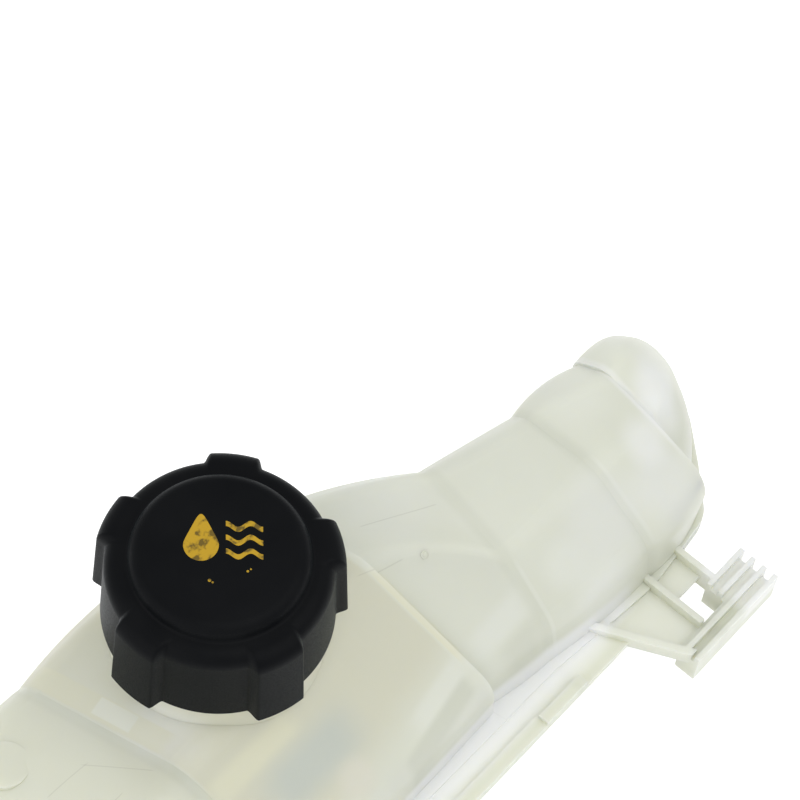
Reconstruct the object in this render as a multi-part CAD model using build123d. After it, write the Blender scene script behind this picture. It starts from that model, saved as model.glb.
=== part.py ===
from build123d import *
import math
import os

os.makedirs("parts", exist_ok=True)

# Shell of the tank: it stands on its flat base at z = 0 and its two halves are welded at weld_z
weld_z = 45.0
wall = 2.4
baffle = 2.4
draft = 2.2
swell_3 = 0.5
swell_4 = 1.8
ledge = 2.6
end_r = 7.0
tail_r = 6.0
foot_r = 6.0
flange_out = 2.5
flange_t = 3.0
overlap = 1.0

# Lengths of the chambers along the tank, counted from the cap's axis, and how its two axes turn in plan
neck_turn = 10.0
tail_turn = -3.0
left_long = 49.8
neck_left_long = 40.2
neck_right_long = 38.6
second_long = 37.6
third_long = 36.8
fourth_long = 26.5
end_long = 23.5

# Ways through the baffles: air under the roof, coolant along the floor
way_wide = 16.0
air_way_high = 8.0
air_way_drop = 4.5
floor_way_high = 16.0

# Fits between pieces that move past each other
slide_gap = 0.6
turn_gap = 0.4
roof_gap = 0.3
neck_gap = 0.9

# Filler neck, on a boss that rises from the roof to just under the cap's rim
rim_rise = 9.5
boss_gap = 1.0
neck_bore_r = 21.5
neck_wall = 3.1
neck_r = neck_bore_r + neck_wall
seat_in = 2.9
seat_rise = 3.0
seat_t = 2.6
boss_wall = 2.6

# Cap, around an axis at x = y = 0: a skirt, a raised disc, a valley round it and five lobes
thread_room = 3.3
cap_wall = 3.4
skirt_bore_r = neck_r + thread_room
cap_r = skirt_bore_r + cap_wall
boss_in = 1.8
boss_r = cap_r - boss_in
cap_taper = 1.3
cap_h = 32.0
cap_roof = 3.4
cap_deep = 8.4
shoulder_r = 2.6
disc_in = 8.0
disc_slope = 1.3
disc_edge_r = 3.0
disc_wall = 5.3
disc_r = cap_r - disc_in
valley_drop = 5.0
valley_r = disc_r + disc_slope
core_r = disc_r - disc_wall
lobe_out = 3.2
lobe_taper = 1.8
lobe_edge_r = 4.0
lobe_side_r = 1.3
lobe_rise = 1.6
lobe_wide = 25.0
lobe_drop = 2.5
lobe_first = 37.0
lobe_count = 5
lobe_clear = 0.8
lobe_r = cap_r + lobe_out

# Valve insert, which hangs on the cap's stub and reaches down into the neck
insert_r = neck_bore_r - slide_gap
insert_wall = 2.5
insert_bore_r = insert_r - insert_wall
insert_disc_in = 0.4
insert_disc_t = 2.4
window_wide = 8.0
window_above = 1.7
window_below = 2.9
window_count = 4
stub_r = 5.0
stub_lip = 1.6
stub_head_t = 1.6

# Seals and the seat ring in the insert's foot
seal_t = 1.8
seal_in = 0.2
floor_t = 2.2
floor_wide = 7.4
floor_bore_r = insert_bore_r - floor_wide
seat_seal_t = 1.4
seat_seal_in = 0.6

# Pressure valve: plate and spring
plate_gap = 1.8
plate_r = insert_bore_r - plate_gap
plate_t = 2.4
plate_rim = 1.2
spring_in = 4.0
spring_wire_r = 0.9
spring_pitch = 2.4

# Vacuum valve: poppet with its stem and keeper, spring, and the vent holes that the poppet covers
stem_r = 1.6
stem_above = 4.6
vacuum_wire_r = 0.3
vacuum_gap = 0.45
vacuum_pitch = 1.0
keeper_lip = 0.55
keeper_t = 1.0
vacuum_spring_r = stem_r + vacuum_gap + vacuum_wire_r
keeper_r = vacuum_spring_r + vacuum_wire_r + keeper_lip
vent_hole_r = 0.8
vent_hole_gap = 0.2
vent_hole_count = 4
vent_ring_r = keeper_r + vent_hole_gap + vent_hole_r
poppet_lip = 1.4
poppet_t = 1.5
poppet_r = vent_ring_r + vent_hole_r + poppet_lip

# Front rail, out from the front of the weld: a flat with a thicker strip along its edge and a block
rail_x0 = -62.0
rail_out = 13.6
rail_t = 2.4
strip_long = 119.0
strip_wide = 4.4
strip_t = 4.2
block_long = 17.5
block_wide = 3.4
block_t = 5.6
rail_tail = 20.5

# Slide bracket, out from the front of the tail: two webs and a tray to a head with fins
web_back = 1.6
web_pitch = 13.4
web_t = 1.9
web_high = 5.0
web_low = 3.5
web_clear = 3.6
tray_t = 1.4
tray_out = 10.0
head_back = 9.8
head_over = 10.3
head_near = 13.6
head_mid = 20.4
head_far = 27.6
head_low = 7.0
head_high = 2.4
head_edge_r = 1.0
fin_t = 1.6
fin_high = 5.0
fin_over = 1.8
fin_count = 4
brace_back = 23.4
brace_t = 2.6

# Round boss on the left chamber's roof, and hose spigots on the left end
dome_along = 2.0
dome_across = 25.3
dome_r = 6.6
dome_rise = 2.2
dome_deep = 8.0
spigot_in = 6.0
vent_y = -9.0
vent_up = 21.0
vent_r = 4.0
vent_bore_r = 2.6
vent_long = 29.0
vent_bead_long = 2.0
outlet_y = -22.0
outlet_z = 17.0
outlet_r = 10.0
outlet_bore_r = 8.0
outlet_long = 30.0
outlet_bead_long = 4.0
bead_out = 0.9
bead_back = 4.0


# Helpers
def rounded(points, radii):
    """A closed outline through the points, with each corner rounded by its radius."""
    count = len(points)
    cuts = []
    for i in range(count):
        here = Vector(*points[i])
        if radii[i] == 0:
            cuts.append((here, None, here))
            continue
        back = Vector(*points[i - 1]) - here
        ahead = Vector(*points[(i + 1) % count]) - here
        half = math.radians(back.get_angle(ahead)) / 2
        reach = min(radii[i] / math.tan(half), 0.46 * back.length, 0.46 * ahead.length)
        radius = reach * math.tan(half)
        bisector = (back.normalized() + ahead.normalized()).normalized()
        middle = here + bisector * (radius / math.sin(half) - radius)
        cuts.append((here + back.normalized() * reach, middle, here + ahead.normalized() * reach))
    edges = []
    for i in range(count):
        first, middle, last = cuts[i]
        if middle is not None:
            edges.append(ThreePointArc(first, middle, last))
        edges.append(Line(last, cuts[(i + 1) % count][0]))
    return make_face(Wire(edges))


def inset(points, gap, foot):
    """The outline drawn in by a gap on every side but the first, its foot, which has its own gap."""
    count = len(points)
    lines = []
    for i in range(count):
        start = Vector(*points[i])
        along = (Vector(*points[(i + 1) % count]) - start).normalized()
        inward = Vector(-along.Y, along.X)
        lines.append((start + inward * (foot if i == 0 else gap), along))
    drawn = []
    for i in range(count):
        a, u = lines[i - 1]
        b, v = lines[i]
        cross = u.X * v.Y - u.Y * v.X
        reach = ((b.X - a.X) * v.Y - (b.Y - a.Y) * v.X) / cross
        drawn.append((a.X + u.X * reach, a.Y + u.Y * reach))
    return drawn


def between(one, other):
    """The outline half way between two outlines."""
    return [((a[0] + b[0]) / 2, (a[1] + b[1]) / 2) for a, b in zip(one, other)]


def station(distance, turn):
    """The upright plane across the tank at a distance from the cap, along an axis turned in plan."""
    t = math.radians(turn)
    return Plane(
        origin=(distance * math.cos(t), distance * math.sin(t), weld_z),
        x_dir=(-math.sin(t), math.cos(t), 0),
        z_dir=(math.cos(t), math.sin(t), 0),
    )


def bar(start, direction, radius, length):
    """A round bar from a point."""
    plane = Plane(origin=start, z_dir=direction)
    return plane * Cylinder(radius, length, align=(Align.CENTER, Align.CENTER, Align.MIN))


def ring(outer, inner, z0, z1):
    """A flat ring around the cap's axis."""
    return bar((0, 0, z0), (0, 0, 1), outer, z1 - z0) - bar((0, 0, z0), (0, 0, 1), inner, z1 - z0)


def plate_of(points, z0, z1):
    """A plate of the plan outline through the points, between two heights."""
    return extrude(Pos(0, 0, z0) * make_face(Polyline(*points, close=True)), z1 - z0)


def strip(x0, x1, y0, y1, z0, z1):
    """A straight plate between its limits."""
    return plate_of([(x0, y0), (x1, y0), (x1, y1), (x0, y1)], z0, z1)


def turned(points, radii):
    """A solid turned about the cap's axis from (radius, z) points with rounded corners."""
    return revolve(Plane.XZ * rounded(points, radii), Axis.Z)


def coil(radius, wire_r, z0, z1, pitch):
    """A spring of six-sided wire standing between two heights on the cap's axis."""
    rise = z1 - z0 - 2 * wire_r
    path = Helix(pitch=pitch, height=rise, radius=radius, center=(0, 0, z0 + wire_r))
    section = Plane(origin=path @ 0, z_dir=path % 0) * RegularPolygon(wire_r, 6)
    return sweep(section, path=path, is_frenet=True)


# Chamber outlines across the tank as (across, height above the weld), from the front foot to the
# back foot, up the back wall, over the roof and down the front slope
corner_r = (0, 0, 6, 7, 12, 13)
end_left = [(-46.0, 0), (29.0, 0), (27.0, 24.0), (21.0, 31.0), (-13.0, 33.0), (-44.0, 16.0)]
mid_left = [(-51.5, 0), (40.0, 0), (38.4, 37.0), (33.4, 43.2), (-16.0, 48.5), (-50.0, 21.5)]
ring_0 = [(-56.0, 0), (39.0, 0), (37.4, 37.0), (33.5, 42.0), (-15.0, 48.0), (-54.4, 20.0)]
mid_neck = [(-62.6, 0), (34.0, 0), (32.2, 37.0), (26.6, 43.6), (-20.0, 50.5), (-61.2, 21.5)]
ring_a = [(-68.5, 0), (18.6, 0), (16.6, 38.0), (8.0, 44.8), (-22.0, 49.0), (-67.2, 18.6)]
mid_2 = [(-66.6, 0), (6.4, 0), (4.4, 39.0), (-2.0, 44.8), (-28.6, 43.0), (-62.5, 19.5)]
ring_b = [(-58.5, 0), (0.5, 0), (-1.5, 40.5), (-5.5, 45.8), (-35.2, 36.0), (-54.6, 18.6)]
ring_c = [(-66.0, 0), (-8.0, 0), (-10.0, 31.0), (-16.0, 36.0), (-40.0, 36.8), (-63.0, 19.5)]
ring_d = [(-62.8, 0), (-9.5, 0), (-12.6, 31.0), (-23.4, 38.0), (-42.0, 32.5), (-64.2, 23.6)]
step_d = [(-60.0, 0), (-9.6, 0), (-11.8, 31.8), (-22.4, 38.8), (-41.0, 30.6), (-57.0, 21.6)]
mid_end = [(-51.0, 0), (-10.4, 0), (-12.6, 32.0), (-21.0, 38.2), (-37.0, 31.8), (-48.6, 20.0)]
end_tail = [(-38.0, 0), (-15.0, 0), (-17.4, 19.0), (-22.4, 25.6), (-30.0, 23.0), (-35.6, 14.0)]

# Where each outline stands: the rings at the chambers' ends, the others half way along
left_end = -neck_left_long - left_long
ring_b_at = neck_right_long + second_long
ring_c_at = ring_b_at + third_long
ring_d_at = ring_c_at + fourth_long
tail_end = ring_d_at + end_long
at_left = station(left_end, neck_turn)
at_mid_left = station(left_end + left_long / 2, neck_turn)
at_0 = station(-neck_left_long, neck_turn)
at_neck = station(0.0, neck_turn)
at_a = station(neck_right_long, neck_turn)
at_mid_2 = station(neck_right_long + second_long / 2, neck_turn / 2)
at_b = station(ring_b_at, tail_turn)
at_mid_3 = station(ring_b_at + third_long / 2, tail_turn / 2)
at_c = station(ring_c_at, 0.0)
at_mid_4 = station(ring_c_at + fourth_long / 2, 0.0)
at_d = station(ring_d_at, 0.0)
at_mid_end = station(ring_d_at + end_long / 2, 0.0)
at_tail = station(tail_end, 0.0)
baffles = [(at_0, ring_0), (at_a, ring_a), (at_b, ring_b), (at_c, ring_c), (at_d, ring_d)]

# Each chamber as its outlines in order, each drawn in by the last value or swelled when it is negative
chambers = [
    [(at_left, end_left, 0), (at_mid_left, mid_left, 0), (at_0, ring_0, 0)],
    [(at_0, ring_0, 0), (at_neck, mid_neck, 0), (at_a, ring_a, 0)],
    [(at_a, ring_a, ledge), (at_mid_2, mid_2, 0), (at_b, ring_b, 0)],
    [(at_b, ring_b, 0), (at_mid_3, between(ring_b, ring_c), -swell_3), (at_c, ring_c, 0)],
    [(at_c, ring_c, 0), (at_mid_4, between(ring_c, ring_d), -swell_4), (at_d, ring_d, 0)],
    [(at_d, step_d, 0), (at_mid_end, mid_end, 0), (at_tail, end_tail, 0)],
]

# Plan of both halves at the weld: the front feet of the outlines from the left, then the back feet
front_feet = [
    (at_left, end_left, 14),
    (at_b, ring_b, 80),
    (at_c, ring_c, 60),
    (at_d, ring_d, 10),
    (at_mid_end, mid_end, 10),
    (at_tail, end_tail, 10),
]
back_feet = [
    (at_tail, end_tail, 8),
    (at_mid_end, mid_end, 14),
    (at_c, ring_c, 60),
    (at_b, ring_b, 25),
    (at_a, ring_a, 40),
    (at_neck, mid_neck, 40),
    (at_0, ring_0, 80),
    (at_mid_left, mid_left, 30),
    (at_left, end_left, 12),
]
plan = []
plan_r = []
for side, feet in ((0, front_feet), (1, back_feet)):
    for plane, points, radius in feet:
        foot = plane.from_local_coords(Vector(*points[side]))
        plan.append((foot.X, foot.Y))
        plan_r.append(radius)

# Heights of the neck, cap and valve pieces, each from the one that carries it
roof_z = weld_z + mid_neck[4][1]
rim_z = roof_z + rim_rise
boss_top_z = rim_z - boss_gap
boss_foot_z = weld_z + mid_neck[3][1] - wall
top_z = rim_z + cap_h
valley_z = top_z - valley_drop
insert_top_z = top_z - cap_deep - roof_gap
insert_low_z = insert_top_z - insert_disc_t
head_top_z = insert_low_z - turn_gap
neck_top_z = insert_low_z - neck_gap
seat_z = rim_z + seat_rise
seat_r = neck_bore_r - seat_in
insert_foot_z = seat_z + seal_t
floor_z = insert_foot_z + floor_t
plate_z = floor_z + seat_seal_t
plate_top_z = plate_z + plate_t
keeper_z = plate_top_z + stem_above - keeper_t
span = tail_end - left_end


def plan_face(gap, z):
    """The plan outline drawn in by a gap, at a height."""
    return Pos(0, 0, z) * rounded(inset(plan, gap, gap), plan_r)


def chamber_body(outlines):
    """The outside of a chamber."""
    return loft([plane * rounded(inset(points, gap, 0), corner_r) for plane, points, gap in outlines])


def round_end(body, plane, radius):
    """The body with the edge of the end that lies in a plane rounded, apart from its foot."""
    end = [face for face in body.faces() if abs(plane.to_local_coords(face.center()).Z) < 0.01][0]
    edges = [edge for edge in end.edges() if edge.center().Z > weld_z + 0.01]
    return fillet(edges, radius)


def chamber_hollow(outlines):
    """The inside of a chamber, a wall in from its outside and half a baffle from its neighbours."""
    faces = []
    for (plane, points, gap), moved in zip(outlines, (baffle / 2, 0, -baffle / 2)):
        drawn = inset(points, gap + wall, -overlap)
        faces.append(plane.offset(moved) * make_face(Polyline(*drawn, close=True)))
    return loft(faces, ruled=True)


def way(plane, across, middle, high):
    """A square way through a baffle, around a height above the weld."""
    return plane * Pos(across, middle, 0) * Box(way_wide, high, 4 * baffle)


# Upper half of the tank
upper = round_end(chamber_body(chambers[0]), at_left, end_r)
for outlines in chambers[1:-1]:
    upper = upper + chamber_body(outlines)
upper = upper + round_end(chamber_body(chambers[-1]), at_tail, tail_r)
upper = upper + extrude(plan_face(-flange_out, weld_z), flange_t)

# Front rail with its thicker strip and end block; all roots run into the wall
rail_front = plan[0][1] - rail_out
rail_root = plan[0][1] + wall
strip_x1 = rail_x0 + strip_long
block_x1 = strip_x1 + block_long
rail_x1 = block_x1 + rail_tail
upper = upper + strip(rail_x0, rail_x1, rail_front, rail_root, weld_z, weld_z + rail_t)
upper = upper + strip(rail_x0, strip_x1, rail_front, rail_front + strip_wide, weld_z, weld_z + strip_t)
upper = upper + strip(strip_x1, block_x1, rail_front, rail_front + block_wide, weld_z, weld_z + block_t)

# Slide bracket: two webs and a tray to a head with fins, braced back to the rail
tail_front = ring_c[0][0]
web_root = tail_front + wall
web_x0 = ring_c_at - web_back
web_x1 = web_x0 + web_pitch
head_y0 = tail_front - head_far
head_y1 = tail_front - head_near
head_mid_y = tail_front - head_mid
head_x0 = web_x0 - head_back
head_x1 = web_x1 + web_t + head_over
head_low_z = weld_z - head_low
for x, reach_y in ((web_x0, head_mid_y), (web_x1, head_y1)):
    upper = upper + strip(x, x + web_t, reach_y, web_root, weld_z, weld_z + web_high)
    upper = upper + strip(x, x + web_t, reach_y, tail_front - web_clear, weld_z - web_low, weld_z)
upper = upper + strip(web_x0, web_x1 + web_t, tail_front - tray_out, web_root, weld_z, weld_z + tray_t)
head_plan = [
    (head_x0, head_y0),
    (head_x1, head_y0),
    (head_x1, head_y1),
    (web_x1 - web_t, head_y1),
    (web_x1 - web_t, head_mid_y),
    (head_x0, head_mid_y),
]
head = plate_of(head_plan, head_low_z, weld_z + head_high)
upper = upper + fillet(head.edges().filter_by(Axis.Z), head_edge_r)
fin_step = (head_y1 - head_y0 - fin_t) / (fin_count - 1)
for i in range(fin_count):
    y = head_y0 + i * fin_step
    fin_x0 = head_x0 if y < head_mid_y else web_x1 - web_t
    upper = upper + strip(fin_x0, head_x1 + fin_over, y, y + fin_t, head_low_z, weld_z + fin_high)
brace_x0 = web_x0 - brace_back
brace_end = (head_x0, head_y0 + brace_t)
brace_plan = [(brace_x0, web_root), brace_end, (web_x0 + web_t, head_mid_y), (web_x0, web_root)]
upper = upper + plate_of(brace_plan, weld_z, weld_z + tray_t)
rib_plan = [brace_plan[0], brace_end, (head_x0 + brace_t, brace_end[1]), (brace_x0 + brace_t, web_root)]
upper = upper + plate_of(rib_plan, weld_z, weld_z + web_high)

# Round boss on the left chamber's roof, and the degas spigot in its end
dome_at = station(left_end + left_long / 2 + dome_along, neck_turn)
dome_foot = dome_at.from_local_coords(Vector(dome_across, mid_left[3][1] + dome_rise - dome_deep))
upper = upper + bar(dome_foot, (0, 0, 1), dome_r, dome_deep)
spigot_x = left_end + spigot_in
vent_z = weld_z + vent_up
upper = upper + bar((spigot_x, vent_y, vent_z), (-1, 0, 0), vent_r, vent_long)
vent_bead_x = spigot_x - vent_long + bead_back
upper = upper + bar((vent_bead_x, vent_y, vent_z), (1, 0, 0), vent_r + bead_out, vent_bead_long)

# Filler neck on its boss
upper = upper + bar((0, 0, boss_foot_z), (0, 0, 1), boss_r, boss_top_z - boss_foot_z)
upper = upper + bar((0, 0, boss_top_z), (0, 0, 1), neck_r, neck_top_z - boss_top_z)

# Hollows
for outlines in chambers:
    upper = upper - chamber_hollow(outlines)
seat_low_z = seat_z - seat_t
upper = upper - bar((0, 0, seat_z), (0, 0, 1), neck_bore_r, neck_top_z - seat_z)
upper = upper - bar((0, 0, seat_low_z), (0, 0, 1), seat_r, seat_t)
upper = upper - bar((0, 0, boss_foot_z), (0, 0, 1), neck_bore_r, seat_low_z - boss_foot_z)
upper = upper - bar((0, 0, boss_foot_z), (0, 0, 1), boss_r - boss_wall, boss_top_z - boss_wall - boss_foot_z)
upper = upper - bar((spigot_x, vent_y, vent_z), (-1, 0, 0), vent_bore_r, vent_long)

# Ways through the baffles of the upper half
for plane, points in baffles:
    across = (points[3][0] + points[4][0]) / 2
    air_top = min(points[3][1], points[4][1]) - air_way_drop
    upper = upper - way(plane, across, air_top - air_way_high / 2, air_way_high)
export_step(upper, "parts/upper_shell.step")

# Lower half of the tank
lower = loft([plan_face(0, weld_z), plan_face(draft, 0)], ruled=True)
lower = fillet(lower.edges().filter_by_position(Axis.Z, -0.01, 0.01), foot_r)
lower = lower + extrude(plan_face(-flange_out, weld_z), -flange_t)
lower = lower + bar((spigot_x, outlet_y, outlet_z), (-1, 0, 0), outlet_r, outlet_long)
outlet_bead_x = spigot_x - outlet_long + bead_back
lower = lower + bar((outlet_bead_x, outlet_y, outlet_z), (1, 0, 0), outlet_r + bead_out, outlet_bead_long)
hollow = loft([plan_face(wall, weld_z + overlap), plan_face(wall + draft, wall)], ruled=True)
for plane, points in baffles:
    hollow = hollow - plane * Box(2 * span, 2 * span, baffle)
lower = lower - hollow
outlet_root = (spigot_x + 2 * wall, outlet_y, outlet_z)
lower = lower - bar(outlet_root, (-1, 0, 0), outlet_bore_r, outlet_long + 2 * wall)
for plane, points in baffles:
    across = (points[3][0] + points[4][0]) / 2
    lower = lower - way(plane, across, wall - weld_z + floor_way_high / 2, floor_way_high)
export_step(lower, "parts/lower_shell.step")

# Cap: a skirt with a raised disc, five lobes, and a stub that the insert hangs from
cap_side = [
    (0, rim_z),
    (cap_r, rim_z),
    (cap_r - cap_taper, valley_z),
    (valley_r, valley_z),
    (disc_r, top_z),
    (0, top_z),
]
cap = turned(cap_side, (0, 0, shoulder_r, disc_slope, disc_edge_r, 0))
lobe_foot_z = rim_z - lobe_drop
lobe_in_r = boss_r + lobe_clear
lobe_side = [
    (lobe_in_r, lobe_foot_z),
    (lobe_r, lobe_foot_z),
    (lobe_r - lobe_taper, valley_z + lobe_rise),
    (valley_r + disc_slope, valley_z + lobe_rise),
    (valley_r + disc_slope, valley_z - cap_roof),
    (lobe_in_r, rim_z + cap_wall),
]
lobe_ring = turned(lobe_side, (0, 0, lobe_edge_r, lobe_edge_r / 2, 0, 0))
half = math.radians(lobe_wide / 2)
lobe_reach = 1.3 * lobe_r
wedge = [(0, 0), (lobe_reach, -lobe_reach * math.tan(half)), (lobe_reach, lobe_reach * math.tan(half))]
lobe = lobe_ring & plate_of(wedge, lobe_foot_z - overlap, top_z)
lobe_sides = lobe.edges().filter_by(lambda edge: abs(edge.center().Y) > 0.01)
lobe_sides = lobe_sides.filter_by(lambda edge: edge.center().X > valley_r + disc_slope)
lobe_sides = lobe_sides.filter_by(lambda edge: edge.center().Z > rim_z)
lobe = fillet(lobe_sides, lobe_side_r)
for i in range(lobe_count):
    cap = cap + Rot(0, 0, lobe_first + i * 360 / lobe_count) * lobe
cap = cap - bar((0, 0, rim_z), (0, 0, 1), skirt_bore_r, cap_h - cap_deep)
cap = cap - bar((0, 0, rim_z), (0, 0, 1), core_r, cap_h - cap_roof)
stub_low_z = head_top_z - stub_head_t
cap = cap + bar((0, 0, stub_low_z), (0, 0, 1), stub_r, top_z - cap_roof - stub_low_z)
cap = cap + bar((0, 0, stub_low_z), (0, 0, 1), stub_r + stub_lip, stub_head_t)
export_step(cap, "parts/cap_shell.step")

# Valve insert: a disc under the cap and a tube down into the neck
insert = ring(neck_r - insert_disc_in, stub_r + turn_gap, insert_low_z, insert_top_z)
insert = insert + ring(insert_r, insert_bore_r, insert_foot_z, insert_low_z)
window_low_z = plate_top_z + window_above
window_high_z = insert_low_z - window_below
for i in range(window_count):
    window = strip(0, 2 * insert_r, -window_wide / 2, window_wide / 2, window_low_z, window_high_z)
    insert = insert - Rot(0, 0, 45 + i * 360 / window_count) * window
export_step(insert, "parts/valve_insert.step")

# Rubber ring between the insert's foot and the seat in the neck
seal = ring(insert_r, seat_r + seal_in, seat_z, insert_foot_z)
export_step(seal, "parts/bore_seal.step")

# Seat ring clipped in the insert's foot
seat_ring = ring(insert_bore_r, floor_bore_r, insert_foot_z, floor_z)
export_step(seat_ring, "parts/insert_floor.step")

# Pressure valve: a plate with vent holes under the vacuum valve, on a rubber ring
plate = ring(plate_r, stem_r + turn_gap, plate_z, plate_top_z)
for i in range(vent_hole_count):
    turn = math.radians(i * 360 / vent_hole_count)
    centre = (vent_ring_r * math.cos(turn), vent_ring_r * math.sin(turn), plate_z)
    plate = plate - bar(centre, (0, 0, 1), vent_hole_r, plate_t)
export_step(plate, "parts/pressure_plate.step")
seat_seal = ring(plate_r - plate_rim, floor_bore_r + seat_seal_in, floor_z, plate_z)
export_step(seat_seal, "parts/seat_seal.step")

# Pressure spring between the plate and the insert's disc
spring = coil(plate_r - spring_in, spring_wire_r, plate_top_z, insert_low_z, spring_pitch)
export_step(spring, "parts/pressure_spring.step")

# Vacuum valve: a poppet that hangs through the plate, and its spring
poppet_low_z = plate_z - poppet_t
poppet = bar((0, 0, poppet_low_z), (0, 0, 1), poppet_r, poppet_t)
poppet = poppet + bar((0, 0, poppet_low_z), (0, 0, 1), stem_r, keeper_z + keeper_t - poppet_low_z)
poppet = poppet + bar((0, 0, keeper_z), (0, 0, 1), keeper_r, keeper_t)
export_step(poppet, "parts/vacuum_valve.step")
vacuum_spring = coil(vacuum_spring_r, vacuum_wire_r, plate_top_z, keeper_z, vacuum_pitch)
export_step(vacuum_spring, "parts/vacuum_spring.step")
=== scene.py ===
import math
import bmesh
import bpy
from mathutils import Matrix, Vector


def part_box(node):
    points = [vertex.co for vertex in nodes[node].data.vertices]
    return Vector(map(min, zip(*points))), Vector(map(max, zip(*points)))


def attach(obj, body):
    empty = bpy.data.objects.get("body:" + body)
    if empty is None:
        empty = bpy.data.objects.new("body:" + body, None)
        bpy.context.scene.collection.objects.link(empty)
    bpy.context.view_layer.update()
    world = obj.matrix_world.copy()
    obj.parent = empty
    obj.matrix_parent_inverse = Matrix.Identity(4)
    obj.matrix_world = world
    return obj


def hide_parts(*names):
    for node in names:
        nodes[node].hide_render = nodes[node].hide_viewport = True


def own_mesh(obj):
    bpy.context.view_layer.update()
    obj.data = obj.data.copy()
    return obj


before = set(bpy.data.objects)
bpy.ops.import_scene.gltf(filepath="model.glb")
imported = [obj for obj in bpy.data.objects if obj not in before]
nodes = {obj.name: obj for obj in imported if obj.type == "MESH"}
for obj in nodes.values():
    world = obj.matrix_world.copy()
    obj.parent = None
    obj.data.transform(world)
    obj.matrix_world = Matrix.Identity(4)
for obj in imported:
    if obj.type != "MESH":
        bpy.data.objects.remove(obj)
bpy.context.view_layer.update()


# Tank halves: two injection mouldings in natural polypropylene, joined along their flanges by a
# hot-plate weld. The unfilled resin is milky and lets light through, so a wall looks deeper where
# another lies behind it, and nearly white where a single thin edge meets the light. Much of that
# light and shade is painted into the colour below, as painted light and painted shade.
mm = 0.001
milk = (0.74, 0.755, 0.645, 1)
milk_deep = (0.69, 0.70, 0.585, 1)
milk_warm_shade = (0.66, 0.65, 0.515, 1)
milk_shade = (0.62, 0.635, 0.535, 1)
milk_pale = (0.80, 0.815, 0.725, 1)
milk_white = (0.93, 0.935, 0.905, 1)
milk_lilac_highlight = (0.785, 0.795, 0.745, 1)
milk_yellow = (0.745, 0.735, 0.565, 1)
milk_blue = (0.545, 0.585, 0.54, 1)
milk_pink = (0.735, 0.715, 0.61, 1)
milk_line = (0.42, 0.42, 0.34, 1)
neck_turn = 10.0
tail_turn = -3.0


def feed(tree, socket, value):
    """A link or a plain value on a socket."""
    if isinstance(value, bpy.types.NodeSocket):
        tree.links.new(value, socket)
    else:
        socket.default_value = value


def add(tree, kind, inputs=None, **settings):
    """A new node, with settings on the node and values or links on its inputs."""
    made = tree.nodes.new(kind)
    for name, value in settings.items():
        setattr(made, name, value)
    for name, value in (inputs or {}).items():
        feed(tree, made.inputs[name], value)
    return made


def calc(tree, operation, one, other):
    """The result of a named operation on two values."""
    return add(tree, "ShaderNodeMath", {0: one, 1: other}, operation=operation).outputs[0]


def new_group(name, takes, gives):
    """An empty node group with its inputs and outputs, and the nodes that stand for them."""
    tree = bpy.data.node_groups.new(name, "ShaderNodeTree")
    for label, kind, value in takes:
        socket = tree.interface.new_socket(label, in_out="INPUT", socket_type=kind)
        socket.default_value = value
    for label in gives:
        tree.interface.new_socket(label, in_out="OUTPUT", socket_type="NodeSocketFloat")
    return tree, tree.nodes.new("NodeGroupInput").outputs, tree.nodes.new("NodeGroupOutput").inputs


def make_moulded_grain():
    """The fine spark-eroded grain of a mould and the slow mottling of the resin."""
    takes = [
        ("Vector", "NodeSocketVector", (0, 0, 0)),
        ("Grain Scale", "NodeSocketFloat", 2500.0),
        ("Mottle Scale", "NodeSocketFloat", 45.0),
    ]
    tree, enter, leave = new_group("moulded_grain", takes, ["Grain", "Mottle"])
    inputs = {"Vector": enter["Vector"], "Scale": enter["Grain Scale"], "Detail": 2.0}
    tree.links.new(add(tree, "ShaderNodeTexNoise", inputs).outputs["Fac"], leave["Grain"])
    inputs = {"Vector": enter["Vector"], "Scale": enter["Mottle Scale"], "Detail": 3.0}
    tree.links.new(add(tree, "ShaderNodeTexNoise", inputs).outputs["Fac"], leave["Mottle"])
    return tree


def make_strip_mask():
    """A soft-edged strip between two parallel planes."""
    takes = [
        ("Vector", "NodeSocketVector", (0, 0, 0)),
        ("Across", "NodeSocketVector", (1, 0, 0)),
        ("Middle", "NodeSocketFloat", 0.0),
        ("Half", "NodeSocketFloat", 0.002),
        ("Soft", "NodeSocketFloat", 0.001),
    ]
    tree, enter, leave = new_group("strip_mask", takes, ["Mask"])
    inputs = {0: enter["Vector"], 1: enter["Across"]}
    place = add(tree, "ShaderNodeVectorMath", inputs, operation="DOT_PRODUCT").outputs["Value"]
    away = calc(tree, "ABSOLUTE", calc(tree, "SUBTRACT", place, enter["Middle"]), 0.0)
    outer = calc(tree, "ADD", enter["Half"], enter["Soft"])
    inputs = {"Value": away, "From Min": outer, "From Max": enter["Half"]}
    ramp = add(tree, "ShaderNodeMapRange", inputs, interpolation_type="SMOOTHSTEP")
    tree.links.new(ramp.outputs["Result"], leave["Mask"])
    return tree


def make_spot_mask():
    """A soft-edged round spot about a point."""
    takes = [
        ("Vector", "NodeSocketVector", (0, 0, 0)),
        ("Centre", "NodeSocketVector", (0, 0, 0)),
        ("Radius", "NodeSocketFloat", 0.005),
        ("Soft", "NodeSocketFloat", 0.005),
    ]
    tree, enter, leave = new_group("spot_mask", takes, ["Mask"])
    inputs = {0: enter["Vector"], 1: enter["Centre"]}
    away = add(tree, "ShaderNodeVectorMath", inputs, operation="DISTANCE").outputs["Value"]
    outer = calc(tree, "ADD", enter["Radius"], enter["Soft"])
    inputs = {"Value": away, "From Min": outer, "From Max": enter["Radius"]}
    ramp = add(tree, "ShaderNodeMapRange", inputs, interpolation_type="SMOOTHSTEP")
    tree.links.new(ramp.outputs["Result"], leave["Mask"])
    return tree


moulded_grain = make_moulded_grain()
strip_mask = make_strip_mask()
spot_mask = make_spot_mask()


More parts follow.
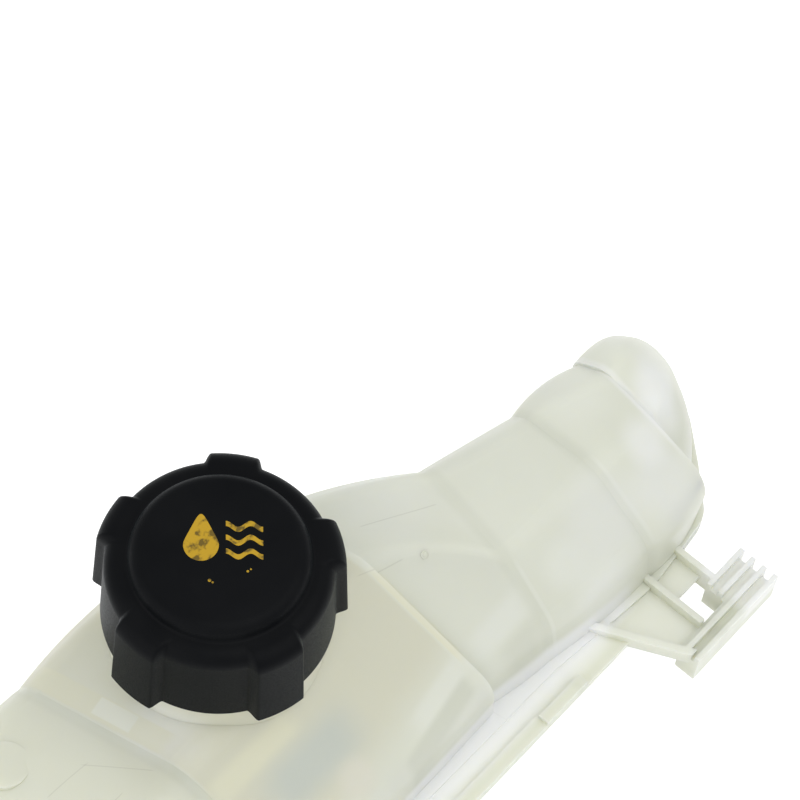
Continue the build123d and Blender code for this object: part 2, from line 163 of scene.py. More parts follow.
def new_material(name):
    """A material with its tree, its shader and the Object coordinates that it reads."""
    material = bpy.data.materials.new(name)
    material.use_nodes = True
    tree = material.node_tree
    place = tree.nodes.new("ShaderNodeTexCoord").outputs["Object"]
    return material, tree, tree.nodes["Principled BSDF"], place


def mask_of(tree, group, inputs):
    """The mask that a group puts out, with its own values."""
    return add(tree, "ShaderNodeGroup", inputs, node_tree=group).outputs["Mask"]


def grain_of(tree, place, grain_scale, mottle_scale):
    """The grain and the mottling of a material, with their scales per metre."""
    inputs = {"Vector": place, "Grain Scale": grain_scale, "Mottle Scale": mottle_scale}
    placed = add(tree, "ShaderNodeGroup", inputs, node_tree=moulded_grain)
    return placed.outputs["Grain"], placed.outputs["Mottle"]


# most of a noise lies between these two values
noise_low = 0.3
noise_high = 0.7


def spread(tree, value, low, high):
    """A noise value spread between two new values."""
    range_in = {"From Min": noise_low, "From Max": noise_high}
    range_out = {"To Min": low, "To Max": high}
    inputs = {"Value": value, **range_in, **range_out}
    return add(tree, "ShaderNodeMapRange", inputs).outputs["Result"]


def tint(tree, under, over, mask, strength=1.0):
    """A colour laid over another by a mask and a strength."""
    share = calc(tree, "MULTIPLY", mask, strength)
    colour_sockets = {0: share, 6: under, 7: over}
    return add(tree, "ShaderNodeMix", colour_sockets, data_type="RGBA").outputs[2]


def bump(tree, shader, height, depth):
    """A bump on a shader, with its depth in millimetres."""
    made = add(tree, "ShaderNodeBump", {"Height": height, "Distance": depth * mm})
    tree.links.new(made.outputs["Normal"], shader.inputs["Normal"])


def slab(tree, place, across, middle, half, soft):
    """A soft-edged slab square to a direction, in mm."""
    sizes = {"Middle": middle * mm, "Half": half * mm, "Soft": soft * mm}
    return mask_of(tree, strip_mask, {"Vector": place, "Across": across, **sizes})


def strip(tree, place, turn, middle, half, soft):
    """A strip across the tank at a distance from the cap, along an axis turned in plan, in mm."""
    angle = math.radians(turn)
    return slab(tree, place, (math.cos(angle), math.sin(angle), 0), middle, half, soft)


def level(tree, place, middle, half, soft):
    """A level strip around a height, in mm."""
    return slab(tree, place, (0, 0, 1), middle, half, soft)


def patch(tree, place, turn, along, across):
    """A patch on a turned axis: middle, half and soft edge along it and across it, in mm."""
    return calc(
        tree,
        "MULTIPLY",
        strip(tree, place, turn, *along),
        strip(tree, place, turn + 90.0, *across),
    )


def spot(tree, place, centre, radius, soft):
    """A soft spot about a point, in mm."""
    inputs = {"Vector": place, "Centre": Vector(centre) * mm, "Radius": radius * mm, "Soft": soft * mm}
    return mask_of(tree, spot_mask, inputs)


scribe_end_soft = 1.5


def scribe(tree, place, start, end, half, soft):
    """A fine line in plan from one point to another, in mm."""
    run = Vector(end) - Vector(start)
    middle = (Vector(end) + Vector(start)) / 2
    turn = math.degrees(math.atan2(run.y, run.x))
    along = run.normalized()
    aside = Vector((-along.y, along.x))
    return patch(
        tree, place, turn,
        (middle.dot(along), run.length / 2, scribe_end_soft),
        (middle.dot(aside), half, soft),
    )


def dress(names, material):
    """CAD nodes in a material."""
    for name in names:
        nodes[name].data.materials.clear()
        nodes[name].data.materials.append(material)


milky_plastic, tree, shader, place = new_material("milky_plastic")
grain, mottle = grain_of(tree, place, 5200.0, 26.0)
plain = tint(tree, milk, milk_deep, spread(tree, mottle, 0.0, 1.0), 0.5)
colour = plain
# painted shade: the neck chamber has walls behind its roof, so it is painted warmest and deepest, and
# the left chamber's roof a little deeper
neck_roof_shade = patch(tree, place, neck_turn, (-1.8, 37.2, 1.6), (-4.0, 42.0, 12.0))
colour = tint(tree, colour, milk_warm_shade, neck_roof_shade, 0.8)
left_roof_shade = strip(tree, place, neck_turn, -80.0, 37.0, 1.6)
colour = tint(tree, colour, milk_warm_shade, left_roof_shade, 0.25)
# painted shade in the bottoms of two grooves, with a painted highlight low on their right sides, and
# painted shade in the groove on the neck chamber's left
second_groove = (tail_turn, 76.8)
third_groove = (0.0, 113.6)
for turn, at in (second_groove, third_groove):
    groove_shade = strip(tree, place, turn, at, 0.8, 2.8)
    colour = tint(tree, colour, milk_shade, groove_shade, 0.4)
    groove_highlight = patch(tree, place, turn, (at + 2.0, 0.2, 0.9), (-50.0, 8.0, 8.0))
    colour = tint(tree, colour, milk_pale, groove_highlight, 0.45)
groove_shade = strip(tree, place, neck_turn, -42.0, 0.8, 2.0)
colour = tint(tree, colour, milk_shade, groove_shade, 0.4)
# painted light: light comes round the cap on to the roof beside it, and through the thinner walls
for light_colour, centre, radius, soft, strength in (
    (milk_pale, (-31.0, 8.0, 90.0), 8.0, 20.0, 0.4),
    (milk_white, (-30.0, -10.0, 92.0), 4.0, 12.0, 0.4),
    (milk_pale, (96.0, -62.0, 60.0), 4.0, 12.0, 0.9),
    (milk_pale, (60.0, -6.0, 88.0), 6.0, 14.0, 0.5),
    (milk_pale, (30.0, 8.0, 88.0), 4.0, 14.0, 0.7),
):
    colour = tint(tree, colour, light_colour, spot(tree, place, centre, radius, soft), strength)
# painted light: the way through to the left chamber shows pale through the roof
way_light = patch(tree, place, neck_turn, (-36.0, 3.0, 0.8), (13.5, 19.0, 4.0))
colour = tint(tree, colour, milk_yellow, way_light, 0.5)
way_light = patch(tree, place, neck_turn, (-35.6, 2.4, 0.5), (9.2, 5.6, 0.7))
colour = tint(tree, colour, milk_pale, way_light, 0.7)
# painted light and shade: coloured light and shade showing through the neck chamber's front slope, then
# a painted pale facet above a painted shaded band low on the slope
yellow_light_streak = patch(tree, place, 0.0, (-20.0, 12.0, 7.0), (-31.6, 1.4, 3.2))
colour = tint(tree, colour, milk_yellow, yellow_light_streak, 0.85)
blue_shade_pool = patch(tree, place, 0.0, (-7.0, 8.0, 15.0), (-41.8, 1.6, 8.0))
colour = tint(tree, colour, milk_blue, blue_shade_pool, 0.75)
pink_light_spot = spot(tree, place, (0.0, -52.0, 72.5), 2.5, 6.0)
colour = tint(tree, colour, milk_pink, pink_light_spot, 0.7)
slope_light = patch(tree, place, neck_turn, (25.0, 7.0, 9.0), (-56.6, 1.4, 2.6))
colour = tint(tree, colour, milk_pale, slope_light, 0.5)
slope_shade = patch(tree, place, neck_turn, (19.0, 13.0, 4.0), (-61.3, 1.2, 2.2))
colour = tint(tree, colour, milk_shade, slope_shade, 0.7)
# the groove on the neck chamber's right: painted yellow light along its thicker rounded edge, and a
# painted dark line of shade at that edge low down
band_light = patch(tree, place, neck_turn, (38.4, 1.3, 0.8), (-41.0, 12.0, 6.0))
colour = tint(tree, colour, milk_yellow, band_light, 0.9)
edge = patch(tree, place, neck_turn, (38.9, 0.08, 0.22), (-66.0, 4.0, 6.0))
colour = tint(tree, colour, milk_line, edge, 0.8)
# painted light and shade: pale and deeper facets where the front slopes turn, a painted pale spot on
# the third chamber's front, and painted highlights, reflections of the studio light, on the third and
# fourth chambers and the dome
facet_light = patch(tree, place, 0.0, (62.0, 6.0, 8.0), (-49.5, 1.2, 4.0))
colour = tint(tree, colour, milk_pale, facet_light, 0.6)
facet_shade = patch(tree, place, 0.0, (65.0, 3.0, 8.0), (-57.0, 1.4, 3.6))
colour = tint(tree, colour, milk_shade, facet_shade, 0.5)
third_front_light = spot(tree, place, (89.0, -51.5, 72.2), 3.0, 8.0)
colour = tint(tree, colour, milk_pale, third_front_light, 0.6)
for centre, radius, soft, strength in (
    ((107.0, -50.0, 74.0), 6.0, 12.0, 0.5),
    ((128.0, -55.0, 72.5), 5.0, 10.0, 0.6),
    ((146.0, -38.0, 77.0), 2.5, 9.0, 0.5),
):
    colour = tint(tree, colour, milk_lilac_highlight, spot(tree, place, centre, radius, soft), strength)
# fine mould lines on the roofs
for start, end in (
    ((51.3, -7.1), (70.1, -16.5)),
    ((37.9, -17.6), (50.8, -21.2)),
    ((-64.9, -0.9), (-53.0, -2.0)),
    ((-53.0, -2.0), (-42.8, -15.7)),
    ((-66.0, -15.0), (-53.4, -15.1)),
):
    mould_line = scribe(tree, place, start, end, 0.05, 0.2)
    colour = tint(tree, colour, milk_line, mould_line, 0.28)
# painted shade on the dome's right side, painted highlights on its crown and the fourth chamber's roof,
# and painted light on the top of the last groove and on the backs of the fourth chamber and the dome
dome_side_shade = spot(tree, place, (151.0, -45.0, 68.0), 4.0, 12.0)
colour = tint(tree, colour, milk_shade, dome_side_shade, 0.65)
for centre, strength in (
    ((148.3, -34.6, 78.6), 0.45),
    ((153.5, -30.0, 77.6), 0.35),
    ((143.6, -41.5, 75.4), 0.4),
    ((131.9, -44.1, 79.0), 0.45),
):
    crown_highlight = spot(tree, place, centre, 2.5, 8.0)
    colour = tint(tree, colour, milk_white, crown_highlight, strength)
last_groove_light = patch(tree, place, 0.0, (139.7, 0.7, 1.4), (-16.0, 30.0, 12.0))
colour = tint(tree, colour, milk_white, last_groove_light, 0.4)
fourth_back_light = spot(tree, place, (128.0, -16.0, 84.0), 6.0, 14.0)
colour = tint(tree, colour, milk_pale, fourth_back_light, 0.4)
dome_back_light = spot(tree, place, (150.0, -16.0, 80.0), 4.0, 10.0)
colour = tint(tree, colour, milk_pale, dome_back_light, 0.5)
# painted light: the thin flange and bracket, and the feet of the walls, take in light from below
walls = patch(tree, place, 0.0, (20.0, 78.0, 12.0), (-43.0, 23.0, 4.0))
foot_light = calc(tree, "MULTIPLY", level(tree, place, 48.0, 4.0, 4.5), walls)
colour = tint(tree, colour, milk_white, foot_light, 0.75)
flange = patch(tree, place, 0.0, (14.0, 74.0, 6.0), (-62.0, 7.0, 4.0))
flange = calc(tree, "MULTIPLY", level(tree, place, 46.0, 4.5, 5.5), flange)
colour = tint(tree, colour, milk_white, flange, 0.5)
bracket = patch(tree, place, 0.0, (120.0, 26.0, 4.0), (-90.0, 18.0, 4.0))
colour = tint(tree, colour, milk_white, bracket, 0.12)
fins = patch(tree, place, 0.0, (134.0, 8.0, 4.0), (-88.0, 10.0, 4.0))
colour = tint(tree, colour, milk_white, fins, 0.7)
# painted shade: the neck stands in the shade of the cap
around = spot(tree, place, (0.0, 0.0, 101.0), 27.0, 4.0)
neck_shade = calc(tree, "MULTIPLY", level(tree, place, 101.5, 4.0, 3.0), around)
colour = tint(tree, colour, milk_warm_shade, neck_shade, 0.7)
# the sump and the lower part of the back wall are plain
sump = level(tree, place, 18.0, 24.0, 3.0)
colour = tint(tree, colour, plain, sump)
back = patch(tree, place, 0.0, (25.0, 150.0, 10.0), (40.0, 34.0, 6.0))
back = calc(tree, "MULTIPLY", level(tree, place, 55.0, 20.0, 8.0), back)
colour = tint(tree, colour, plain, back)
tree.links.new(colour, shader.inputs["Base Color"])
tree.links.new(spread(tree, grain, 0.30, 0.38), shader.inputs["Roughness"])
shader.inputs["IOR"].default_value = 1.49
shader.inputs["Subsurface Weight"].default_value = 0.75
shader.inputs["Subsurface Radius"].default_value = (1.0, 0.95, 0.8)
shader.inputs["Subsurface Scale"].default_value = 5 * mm
shader.inputs["Transmission Weight"].default_value = 0.1
bump(tree, shader, grain, 0.004)
dress(("upper_shell", "lower_shell"), milky_plastic)


# Gate: the small round stub left on the second chamber's roof where the resin entered the mould and
# the runner was twisted off.
gate_at = Vector((57.3, -24.8, 86.9)) * mm
gate_r = 1.35 * mm
gate_high = 0.3 * mm
gate_top_r = 0.85 * gate_r
gate_lip = 0.3 * gate_r
gate_dish = 0.7 * gate_high
gate_pip_edge = 0.2 * gate_r
gate_pip_high = 0.4 * gate_high
gate_sides = 40
facing_up = 0.9
merge_within = 0.001 * mm
sharp_angle = math.radians(35)


def mottled(name, scales, colours, strength, rough, depth):
    """A material of two colours mottled together, with a roughness and a bump that follow the grain."""
    material, tree, shader, place = new_material(name)
    grain, mottle = grain_of(tree, place, *scales)
    colour = tint(tree, *colours, spread(tree, mottle, 0.0, 1.0), strength)
    tree.links.new(colour, shader.inputs["Base Color"])
    tree.links.new(spread(tree, grain, *rough), shader.inputs["Roughness"])
    bump(tree, shader, grain, depth)
    return material, shader


torn_plastic, _ = mottled(
    "torn_plastic", scales=(4200.0, 300.0), colours=(milk_deep, milk_shade), strength=0.5,
    rough=(0.42, 0.58), depth=0.01,
)


def new_piece(name, mesh, material, body):
    """An object for a finished mesh, with its material, that rides on a body."""
    bmesh.ops.remove_doubles(mesh, verts=mesh.verts, dist=merge_within)
    bmesh.ops.recalc_face_normals(mesh, faces=mesh.faces)
    data = bpy.data.meshes.new(name)
    mesh.to_mesh(data)
    mesh.free()
    data.materials.append(material)
    for face in data.polygons:
        face.use_smooth = True
    data.set_sharp_from_angle(angle=sharp_angle)
    piece = bpy.data.objects.new(name, data)
    bpy.context.collection.objects.link(piece)
    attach(piece, body)
    return piece


_, gate_foot, normal, _ = nodes["upper_shell"].closest_point_on_mesh(gate_at)
mesh = bmesh.new()
bmesh.ops.create_cone(
    mesh, cap_ends=True, segments=gate_sides, radius1=gate_r, radius2=gate_top_r, depth=gate_high
)
top = [face for face in mesh.faces if face.normal.z > facing_up]
bmesh.ops.inset_region(mesh, faces=top, thickness=gate_lip)
bmesh.ops.translate(mesh, verts=top[0].verts, vec=(0, 0, -gate_dish))
bmesh.ops.inset_region(mesh, faces=top, thickness=gate_pip_edge)
bmesh.ops.translate(mesh, verts=top[0].verts, vec=(0, 0, gate_pip_high))
turn = normal.to_track_quat("Z", "Y").to_matrix().to_4x4()
bmesh.ops.transform(mesh, matrix=Matrix.Translation(gate_foot) @ turn, verts=mesh.verts)
new_piece("gate_stub", mesh, torn_plastic, "tank")


# Neck thread: two turns of a coarse right-hand thread moulded on the outside of the filler neck,
# which the cap's own thread runs in.
thread_pitch = 5.0 * mm
ridge_foot = 2.0 * mm
ridge_crest = 1.0 * mm
neck_r = 24.6 * mm
neck_crest_r = 26.7 * mm
thread_z = 108.5 * mm
thread_sunk = 0.1 * mm
neck_turns = 2.0
steps_a_turn = 72
lead_in_steps = 9


def thread_ridge(name, foot_r, crest_r, start_z, turns, material, body):
    """One thread ridge from its foot to its crest, run out at both ends."""
    mesh = bmesh.new()
    section = [
        (foot_r, -ridge_foot / 2),
        (crest_r, -ridge_crest / 2),
        (crest_r, ridge_crest / 2),
        (foot_r, ridge_foot / 2),
    ]
    corners = [mesh.verts.new((radius, 0, start_z + z)) for radius, z in section]
    sides = [mesh.edges.new((corners[i - 1], corners[i])) for i in range(len(corners))]
    steps = round(turns * steps_a_turn)
    rise = Vector((0, 0, thread_pitch / steps_a_turn))
    bmesh.ops.spin(
        mesh, geom=corners + sides, cent=(0, 0, 0), axis=(0, 0, 1), dvec=rise,
        angle=2 * math.pi * turns, steps=steps,
    )
    mesh.verts.index_update()
    for vert in mesh.verts:
        step = vert.index // len(section)
        share = min(1.0, (step + 0.5) / lead_in_steps, (steps - step + 0.5) / lead_in_steps)
        radius = math.hypot(vert.co.x, vert.co.y)
        wanted = foot_r + (radius - foot_r) * share
        vert.co.x *= wanted / radius
        vert.co.y *= wanted / radius
    ends = [edge for edge in mesh.edges if edge.is_boundary]
    bmesh.ops.holes_fill(mesh, edges=ends, sides=len(section))
    return new_piece(name, mesh, material, body)


thread_ridge(
    "neck_thread", neck_r - thread_sunk, neck_crest_r, thread_z, neck_turns, milky_plastic,
    "tank",
)


# Cap: one moulding in filled black nylon, with a raised disc, a valley round it and five grip lobes,
# in a satin spark-eroded finish. Its thread is moulded inside the skirt, and the stub that carries the
# valve insert hangs under its roof.
black = (0.0022, 0.0026, 0.0034, 1)
black_worn = (0.0052, 0.0056, 0.0062, 1)
satin_black, shader = mottled(
    "satin_black", scales=(3000.0, 70.0), colours=(black, black_worn), strength=0.6,
    rough=(0.36, 0.56), depth=0.03,
)
shader.inputs["Specular IOR Level"].default_value = 0.06
shader.inputs["Sheen Weight"].default_value = 0.03
shader.inputs["Sheen Roughness"].default_value = 0.4
shader.inputs["Sheen Tint"].default_value = (0.78, 0.96, 1.0, 1)
# the cap's section, in mm from its axis and above the floor
cap_top_z = 137.0
valley_z = 132.8
cap_rim_z = 105.0
roof_z = 128.6
core_z = 133.6
head_top_z = 125.5
head_low_z = 123.9
disc_r = 22.9
disc_foot_r = 24.1
shoulder_r = 30.0
cap_r = 31.3
skirt_bore_r = 27.9
core_r = 18.0
stub_r = 5.0
head_r = 6.6
cap_outline = (
    (0.0, cap_top_z),
    (disc_r, cap_top_z),
    (disc_foot_r, valley_z),
    (shoulder_r, valley_z),
    (cap_r, cap_rim_z),
    (skirt_bore_r, cap_rim_z),
    (skirt_bore_r, roof_z),
    (core_r, roof_z),
    (core_r, core_z),
    (stub_r, core_z),
    (stub_r, head_top_z),
    (head_r, head_top_z),
    (head_r, head_low_z),
    (0.0, head_low_z),
)
# the rounded corners: radius and height of the corner, width of the rounding, and its steps
cap_rounds = (
    (disc_r, cap_top_z, 2.7, 8),
    (disc_foot_r, valley_z, 0.75, 4),
    (shoulder_r, valley_z, 4.35, 10),
)
cap_steps = 720
corner_within = 0.01 * mm
mesh = bmesh.new()
corners = [mesh.verts.new((radius * mm, 0, height * mm)) for radius, height in cap_outline]
sides = [mesh.edges.new(pair) for pair in zip(corners, corners[1:])]
bmesh.ops.spin(
    mesh, geom=corners + sides, cent=(0, 0, 0), axis=(0, 0, 1), angle=2 * math.pi, steps=cap_steps,
    use_merge=True,
)
bmesh.ops.remove_doubles(mesh, verts=mesh.verts, dist=merge_within)
for radius, height, offset, segments in cap_rounds:
    loop = []
    for edge in mesh.edges:
        ends = [(math.hypot(vert.co.x, vert.co.y), vert.co.z) for vert in edge.verts]
        if all(math.hypot(r - radius * mm, z - height * mm) < corner_within for r, z in ends):
            loop.append(edge)
    bmesh.ops.bevel(
        mesh, geom=loop, offset=offset * mm, affect="EDGES", segments=segments, profile=0.5, material=-1
    )
# the lobes swell out of the skirt: the shoulder's rounding moves out to the lobe's, and the rim to its
# foot, where the angle round the axis is within a lobe
lobe_from_r = 24.5
skirt_from_r = 28.5
skirt_from_z = 129.0
shoulder_centre = (25.61, 128.2)
shoulder_room = 5.0
cap_side_lean = 2.7
flat_lean = 90.5
lobe_centre = (28.02, 127.99)
lobe_edge_r = 5.0
lobe_side_lean = 3.5
lobe_top_lean = 93.6
lobe_foot = (34.5, 104.1)
lobe_pitch = 72.0
lobe_first = 36.0
lobe_half = 13.2
lobe_soft = 4.4
for vert in mesh.verts:
    radius = math.hypot(vert.co.x, vert.co.y) / mm
    height = vert.co.z / mm
    if radius < lobe_from_r or height < skirt_from_z and radius < skirt_from_r:
        continue
    lean = math.degrees(math.atan2(height - shoulder_centre[1], radius - shoulder_centre[0]))
    if lean > flat_lean:
        continue
    bearing = math.degrees(math.atan2(vert.co.y, vert.co.x))
    turn = (bearing - lobe_first + lobe_pitch / 2) % lobe_pitch - lobe_pitch / 2
    share = min(1.0, max(0.0, (lobe_half - abs(turn)) / lobe_soft + 0.5))
    share = share * share * (3 - 2 * share)
    if height < shoulder_centre[1] - shoulder_room:
        aim_r, aim_z = lobe_foot
    else:
        way_up = (lean - cap_side_lean) / (90.0 - cap_side_lean)
        lift = math.radians(lobe_side_lean + way_up * (lobe_top_lean - lobe_side_lean))
        aim_r = lobe_centre[0] + lobe_edge_r * math.cos(lift)
        aim_z = lobe_centre[1] + lobe_edge_r * math.sin(lift)
    wanted = radius + share * (aim_r - radius)
    vert.co.x *= wanted / radius
    vert.co.y *= wanted / radius
    vert.co.z += share * (aim_z - height) * mm
cap_body = new_piece("cap_body", mesh, satin_black, "cap")
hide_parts("cap_shell")
cap_crest_r = 25.3 * mm
cap_turns = 1.5
thread_ridge(
    "cap_thread", skirt_bore_r * mm + thread_sunk, cap_crest_r, thread_z + thread_pitch / 2, cap_turns,
    satin_black, "cap",
)


# Cap print: a drop beside three waves, pad-printed in yellow ink on the cap's disc and rubbed thin
# by use.
ink = (0.46, 0.28, 0.012, 1)
ink_thin = (0.10, 0.065, 0.008, 1)
print_middle = Vector((2.6, 1.6, cap_top_z)) * mm
print_turn = math.radians(-47.0)
print_t = 0.05 * mm
print_sunk = 0.01 * mm
motif_apart = 5.6 * mm
drop_r = 4.6 * mm
drop_tip = 4.4 * mm
drop_pinch = 0.35
drop_low = 1.4 * mm
drop_sides = 64
wave_long = 9.6 * mm
wave_wide = 1.5 * mm
wave_high = 0.85 * mm
wave_pitch = 4.0 * mm
wave_bends = 3
wave_steps = 32
# small flecks of ink beside the motifs: place and radius, in mm
flecks = ((-3.4, -11.6, 0.45), (-2.6, -12.2, 0.3), (6.4, -9.0, 0.35), (7.2, -8.4, 0.25))
fleck_sides = 10
worn_ink, tree, shader, place = new_material("worn_ink")
grain, mottle = grain_of(tree, place, 2200.0, 420.0)
scuffs = spread(tree, mottle, -0.9, 1.5)
scuffs = calc(tree, "MAXIMUM", calc(tree, "MINIMUM", scuffs, 1.0), 0.0)
scuffs = calc(tree, "POWER", scuffs, 2.0)
tree.links.new(tint(tree, ink, ink_thin, scuffs, 0.9), shader.inputs["Base Color"])
tree.links.new(spread(tree, grain, 0.45, 0.62), shader.inputs["Roughness"])
shader.inputs["Specular IOR Level"].default_value = 0.25
bump(tree, shader, grain, 0.01)
mesh = bmesh.new()
bmesh.ops.create_circle(mesh, cap_ends=True, segments=drop_sides, radius=drop_r)
for vert in mesh.verts:
    rise = max(0.0, vert.co.y / drop_r)
    vert.co.y += drop_tip * rise ** 3
    vert.co.x *= 1 - drop_pinch * rise ** 2
bmesh.ops.translate(mesh, verts=mesh.verts, vec=(-motif_apart, -drop_low, 0))
for row in (-1, 0, 1):
    stroke = bmesh.ops.create_grid(mesh, x_segments=wave_steps, y_segments=1, size=0.5)["verts"]
    bmesh.ops.scale(mesh, verts=stroke, vec=(wave_long, wave_wide, 1))
    for vert in stroke:
        vert.co.y += wave_high * math.sin(wave_bends * math.pi * vert.co.x / wave_long)
    bmesh.ops.translate(mesh, verts=stroke, vec=(motif_apart, row * wave_pitch, 0))
for x, y, radius in flecks:
    fleck = bmesh.ops.create_circle(mesh, cap_ends=True, segments=fleck_sides, radius=radius * mm)
    bmesh.ops.translate(mesh, verts=fleck["verts"], vec=(x * mm, y * mm, 0))
bmesh.ops.recalc_face_normals(mesh, faces=mesh.faces)
bmesh.ops.solidify(mesh, geom=mesh.faces[:], thickness=print_t)
lowest = min(vert.co.z for vert in mesh.verts)
on_disc = Matrix.Translation(print_middle - Vector((0, 0, lowest + print_sunk)))
bmesh.ops.transform(mesh, matrix=on_disc @ Matrix.Rotation(print_turn, 4, "Z"), verts=mesh.verts)
new_piece("cap_print", mesh, worn_ink, "cap")


# Valve insert and seat ring: moulded in glass-filled black nylon, greyer than the cap, with short
# fibres that show at the skin. The insert hangs on the cap's stub and the ring is clipped in its foot.
fibre_black = (0.011, 0.011, 0.0115, 1)
fibre_grey = (0.045, 0.045, 0.046, 1)
filled_nylon, tree, shader, place = new_material("filled_nylon")
grain, mottle = grain_of(tree, place, 1600.0, 160.0)
fibres = spread(tree, grain, -0.6, 1.0)
tree.links.new(tint(tree, fibre_black, fibre_grey, fibres, 0.55), shader.inputs["Base Color"])
tree.links.new(spread(tree, mottle, 0.40, 0.60), shader.inputs["Roughness"])
bump(tree, shader, grain, 0.02)
dress(("valve_insert", "insert_floor"), filled_nylon)


# Seals and vacuum poppet: moulded in black rubber, dull, with a faint grey bloom. The ring seals sit in
# the insert's foot and under the pressure plate, and the poppet is pulled through the plate's hole.
rubber = (0.016, 0.016, 0.016, 1)
rubber_bloom = (0.055, 0.054, 0.052, 1)
dull_rubber, _ = mottled(
    "dull_rubber", scales=(2400.0, 240.0), colours=(rubber, rubber_bloom), strength=0.5,
    rough=(0.58, 0.76), depth=0.02,
)
dress(("bore_seal", "seat_seal", "vacuum_valve"), dull_rubber)


# Pressure plate: a disc in natural nylon, cream and slightly waxy, that the pressure spring holds down
# on its seal.
cream = (0.56, 0.52, 0.41, 1)
cream_stain = (0.44, 0.38, 0.27, 1)
natural_nylon, shader = mottled(
    "natural_nylon", scales=(2600.0, 130.0), colours=(cream, cream_stain), strength=0.5,
    rough=(0.34, 0.48), depth=0.01,
)
shader.inputs["Subsurface Weight"].default_value = 0.3
shader.inputs["Subsurface Scale"].default_value = 1.5 * mm
dress(("pressure_plate",), natural_nylon)


# Springs: coiled in drawn stainless wire, the strong one over the pressure plate and the small one
# round the poppet's stem. Drawing leaves fine lines and a soft shine.
wire = (0.60, 0.60, 0.61, 1)
wire_dull = (0.42, 0.41, 0.40, 1)
drawn_wire, shader = mottled(
    "drawn_wire", scales=(3600.0, 300.0), colours=(wire, wire_dull), strength=0.6,
    rough=(0.22, 0.38), depth=0.006,
)
shader.inputs["Metallic"].default_value = 1.0
wire_sides = 12
coil_steps_a_turn = 48
pressure_wire_r = 0.9 * mm
pressure_pitch = 2.4 * mm
vacuum_wire_r = 0.3 * mm
vacuum_pitch = 1.0 * mm


def spring_coil(name, node, wire_r, pitch, body):
    """A coil of round wire in a node's place, with that node's height."""
    low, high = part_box(node)
    coil_r = high.x - wire_r
    rise = high.z - low.z - 2 * wire_r
    turns = rise / pitch
    steps = round(turns * coil_steps_a_turn)
    mesh = bmesh.new()
    section = bmesh.ops.create_circle(mesh, segments=wire_sides, radius=wire_r)["verts"]
    stand = Matrix.Translation((coil_r, 0, low.z + wire_r)) @ Matrix.Rotation(math.pi / 2, 4, "X")
    bmesh.ops.transform(mesh, matrix=stand, verts=section)
    bmesh.ops.spin(
        mesh, geom=section + mesh.edges[:], cent=(0, 0, 0), axis=(0, 0, 1), dvec=(0, 0, rise / steps),
        angle=2 * math.pi * turns, steps=steps,
    )
    ends = [edge for edge in mesh.edges if edge.is_boundary]
    bmesh.ops.holes_fill(mesh, edges=ends, sides=wire_sides)
    piece = new_piece(name, mesh, drawn_wire, body)
    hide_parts(node)
    return piece, low.z, high.z


piece, low_z, high_z = spring_coil(
    "pressure_coil", "pressure_spring", pressure_wire_r, pressure_pitch, "insert"
)
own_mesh(piece)
piece, low_z, high_z = spring_coil("vacuum_coil", "vacuum_spring", vacuum_wire_r, vacuum_pitch, "plate")
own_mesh(piece)


# Stage: a plain white floor under the base, soft studio light from above and from the left, and the
# camera looking down on it.
floor_half = 2.0
floor_colour = (0.9, 0.9, 0.9, 1)
floor_rough = 0.9
floor_glow = 0.45
sky_colour = (0.98, 0.99, 1.0, 1)
sky_strength = 0.83
floor_mesh = bmesh.new()
bmesh.ops.create_grid(floor_mesh, x_segments=1, y_segments=1, size=floor_half)
floor_data = bpy.data.meshes.new("floor")
floor_mesh.to_mesh(floor_data)
floor_mesh.free()
floor = bpy.data.objects.new("floor", floor_data)
bpy.context.collection.objects.link(floor)
white_floor = bpy.data.materials.new("white_floor")
white_floor.use_nodes = True
tree = white_floor.node_tree
shader = tree.nodes["Principled BSDF"]
shader.inputs["Base Color"].default_value = floor_colour
shader.inputs["Roughness"].default_value = floor_rough
paths = add(tree, "ShaderNodeLightPath").outputs
seen = calc(tree, "ADD", paths["Is Camera Ray"], paths["Is Glossy Ray"])
seen = calc(tree, "MINIMUM", calc(tree, "ADD", seen, paths["Is Transmission Ray"]), 1.0)
glow = add(tree, "ShaderNodeEmission", {"Color": (1, 1, 1, 1), "Strength": floor_glow})
lit = add(tree, "ShaderNodeAddShader", {0: shader.outputs[0], 1: glow.outputs[0]})
both = add(tree, "ShaderNodeMixShader", {0: seen, 1: shader.outputs[0], 2: lit.outputs[0]})
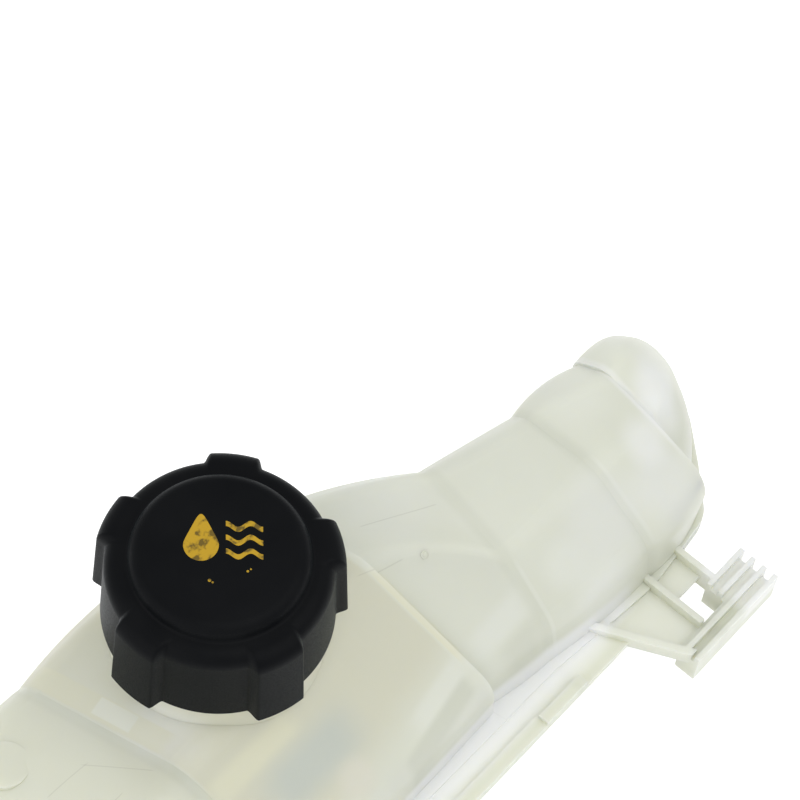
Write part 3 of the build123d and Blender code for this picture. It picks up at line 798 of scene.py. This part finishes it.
tree.links.new(both.outputs[0], tree.nodes["Material Output"].inputs["Surface"])
floor_data.materials.append(white_floor)

world = bpy.data.worlds.new("studio")
bpy.context.scene.world = world
world.use_nodes = True
sky = world.node_tree.nodes["Background"].inputs
sky["Color"].default_value = sky_colour
sky["Strength"].default_value = sky_strength


def soft_box(name, place, aim, size, power):
    """A square soft box at a place, aimed at a point."""
    data = bpy.data.lights.new(name, "AREA")
    data.size = size
    data.energy = power
    lamp = bpy.data.objects.new(name, data)
    lamp.location = place
    lamp.rotation_euler = (Vector(aim) - Vector(place)).to_track_quat("-Z", "Y").to_euler()
    bpy.context.collection.objects.link(lamp)


soft_box("key", place=(0.15, -0.35, 0.9), aim=(0.05, -0.03, 0.06), size=0.9, power=2.6)
soft_box("fill", place=(-0.6, 0.12, 0.42), aim=(0.0, 0.0, 0.09), size=0.7, power=1.3)

# the camera was solved from the cap's rim: where its middle falls in the picture, and how far away
image_size = 800
focal_pixels = 3200
sensor = 36.0
view_azimuth = -55.14
view_elevation = 59.5
view_lean = 7.48
cap_rim = Vector((0, 0, cap_rim_z * mm))
cap_rim_pixel = (218.3, 606.2)
camera_distance = 849.5 * mm
view_turn = Matrix.Rotation(math.radians(view_azimuth), 3, "Z")
view_height = Matrix.Rotation(math.radians(90 - view_elevation), 3, "X")
view_roll = Matrix.Rotation(math.radians(view_lean), 3, "Z")
view = view_turn @ view_height @ view_roll
half_image = image_size / 2
rim_offset = Vector((
    (cap_rim_pixel[0] - half_image) / focal_pixels,
    (half_image - cap_rim_pixel[1]) / focal_pixels,
    -1,
))
camera_data = bpy.data.cameras.new("camera")
camera_data.sensor_width = sensor
camera_data.lens = focal_pixels / image_size * sensor
camera_data.clip_start = 10 * mm
camera = bpy.data.objects.new("camera", camera_data)
camera.matrix_world = Matrix.Translation(cap_rim - view @ rim_offset * camera_distance) @ view.to_4x4()
bpy.context.collection.objects.link(camera)
bpy.context.scene.camera = camera
bpy.context.scene.view_settings.view_transform = "Standard"
